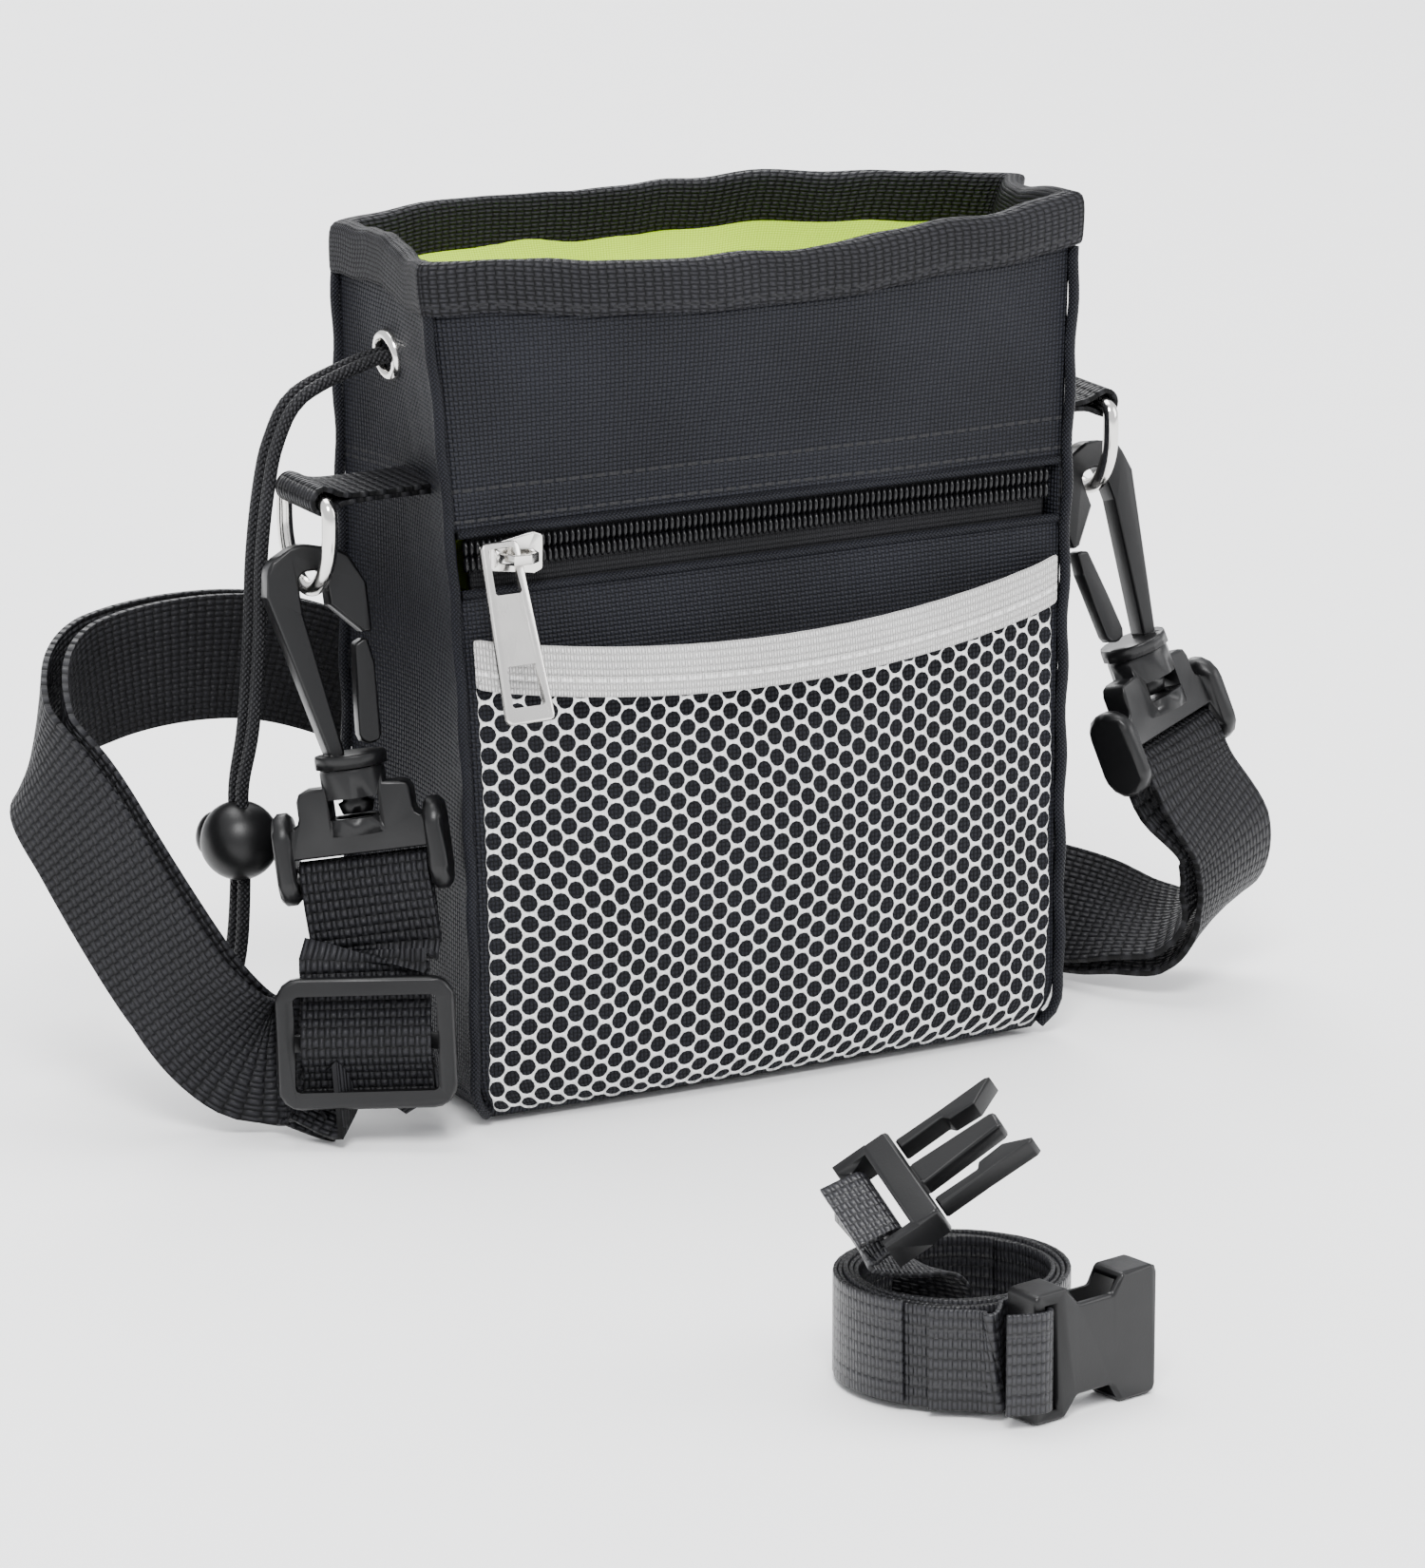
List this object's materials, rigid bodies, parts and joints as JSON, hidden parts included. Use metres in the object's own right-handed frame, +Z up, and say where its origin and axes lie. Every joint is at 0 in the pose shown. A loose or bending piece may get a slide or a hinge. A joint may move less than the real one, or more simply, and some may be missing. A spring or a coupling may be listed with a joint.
{
  "type": "treat pouch",
  "caption": "Drawstring training pouch with a mesh pocket, a zipped front pocket, side rings with clipped-on strap hooks, and a loose belt.",
  "frame": {"origin": "middle of the base's underside", "axes": "+Z up towards the open mouth, -Y out of the front with the pockets, +X to the viewer's right"},
  "size_m": [0.2606, 0.2812, 0.1705],
  "materials": {
    "shell_fabric": "matt plain-weave black polyester",
    "lining_fabric": "lime green coated lining",
    "binding_tape": "coarse ribbed black tape",
    "webbing": "coarse black polypropylene webbing",
    "belt_webbing": "black nylon webbing with satin stripes",
    "elastic": "ribbed white elastic",
    "mesh_net": "white knitted net",
    "cord": "braided black cord",
    "zip_nylon": "black woven tape and nylon coil",
    "nickel": "bright nickel plate",
    "plastic": "fine-grained black acetal"
  },
  "bodies": {
    "pouch": {"back_panel": "shell_fabric", "base_panel": "shell_fabric", "front_lower_panel": "shell_fabric", "front_upper_panel": "shell_fabric", "gusset_left": "shell_fabric", "gusset_right": "shell_fabric", "tab_left": "shell_fabric", "tab_right": "shell_fabric", "lining": "lining_fabric", "rim_binding": "binding_tape", "eyelet": "nickel", "zip_tape_lower": "zip_nylon", "zip_tape_upper": "zip_nylon", "zip_coil_lower": "zip_nylon", "zip_coil_upper": "zip_nylon", "zip_pocket_back": "shell_fabric", "mesh_pocket": "mesh_net", "elastic_band": "elastic", "belt_loop": "webbing", "drawcord_ring": "cord", "drawcord_front": "cord", "drawcord_back": "cord", "cord_knot": "cord", "strap_webbing": "webbing", "tri_glide": "plastic", "hook_left_base": "plastic", "hook_right_base": "plastic"},
    "slider": {"zip_slider": "nickel"},
    "puller": {"zip_puller": "nickel"},
    "ring_left": {"d_ring_left": "nickel"},
    "ring_right": {"d_ring_right": "nickel"},
    "head_left": {"hook_left": "plastic"},
    "gate_left": {"hook_left_gate": "plastic"},
    "head_right": {"hook_right": "plastic"},
    "gate_right": {"hook_right_gate": "plastic"},
    "lock": {"cord_lock_body": "plastic", "cord_lock_spring": "nickel"},
    "lock_button": {"cord_lock_button": "plastic"},
    "belt": {"belt_coil": "belt_webbing", "belt_tail": "belt_webbing", "buckle_plug": "plastic", "buckle_socket": "plastic"},
    "prong_upper": {"buckle_prong_upper": "plastic"},
    "prong_lower": {"buckle_prong_lower": "plastic"}
  },
  "joints": [
    {"name": "zip_slide", "type": "slide", "parent": "pouch", "child": "slider", "axis": [1, -0.0082, 0], "range_m": [0, 0.108]},
    {"name": "pull_swing", "type": "hinge", "parent": "slider", "child": "puller", "pos_m": [-0.06034, -0.02886, 0.1135], "axis": [-0.0082, -1, 0], "range_deg": [-90, 15]},
    {"name": "ring_left_swing", "type": "hinge", "parent": "pouch", "child": "ring_left", "pos_m": [-0.0872, 0, 0.1235], "axis": [0, 1, 0], "range_deg": [-1, 2]},
    {"name": "ring_right_swing", "type": "hinge", "parent": "pouch", "child": "ring_right", "pos_m": [0.0872, 0, 0.1235], "axis": [0, 1, 0], "range_deg": [-2, 2]},
    {"name": "head_left_swivel", "type": "hinge", "parent": "pouch", "child": "head_left", "pos_m": [-0.08429, -0.00257, 0.10403], "axis": [-0.0349, 0.2094, 0.9772], "range_deg": [-6, 6]},
    {"name": "head_right_swivel", "type": "hinge", "parent": "pouch", "child": "head_right", "pos_m": [0.08483, -0.00247, 0.10316], "axis": [-0.2732, 0.2142, 0.9378], "range_deg": [-6, 6]},
    {"name": "gate_left_press", "type": "hinge", "parent": "head_left", "child": "gate_left", "pos_m": [-0.0791, -0.0095, 0.075], "axis": [-0.1666, -0.9653, 0.2009], "range_deg": [0, 14], "stiffness_Nm_per_rad": 0.05},
    {"name": "gate_right_press", "type": "hinge", "parent": "head_right", "child": "gate_right", "pos_m": [0.08899, -0.0094, 0.07397], "axis": [0.0593, -0.9693, 0.2387], "range_deg": [-14, 0], "stiffness_Nm_per_rad": 0.05},
    {"name": "lock_slide", "type": "slide", "parent": "pouch", "child": "lock", "axis": [0, 0, 1], "range_m": [0, 0.006]},
    {"name": "lock_press", "type": "slide", "parent": "lock", "child": "lock_button", "axis": [0.3489, -0.9371, 0], "range_m": [0, 0.001], "stiffness_N_per_m": 400},
    {"name": "belt_lift", "type": "slide", "parent": "pouch", "child": "belt", "axis": [0, 0, 1], "range_m": [0, 0.15]},
    {"name": "prong_upper_flex", "type": "hinge", "parent": "belt", "child": "prong_upper", "pos_m": [-0.06375, -0.18691, 0.04114], "axis": [0.6047, 0.22, -0.7655], "range_deg": [0, 8], "stiffness_Nm_per_rad": 0.3},
    {"name": "prong_lower_flex", "type": "hinge", "parent": "belt", "child": "prong_lower", "pos_m": [-0.06514, -0.20287, 0.03546], "axis": [0.6047, 0.22, -0.7655], "range_deg": [-8, 0], "stiffness_Nm_per_rad": 0.3}
  ]
}
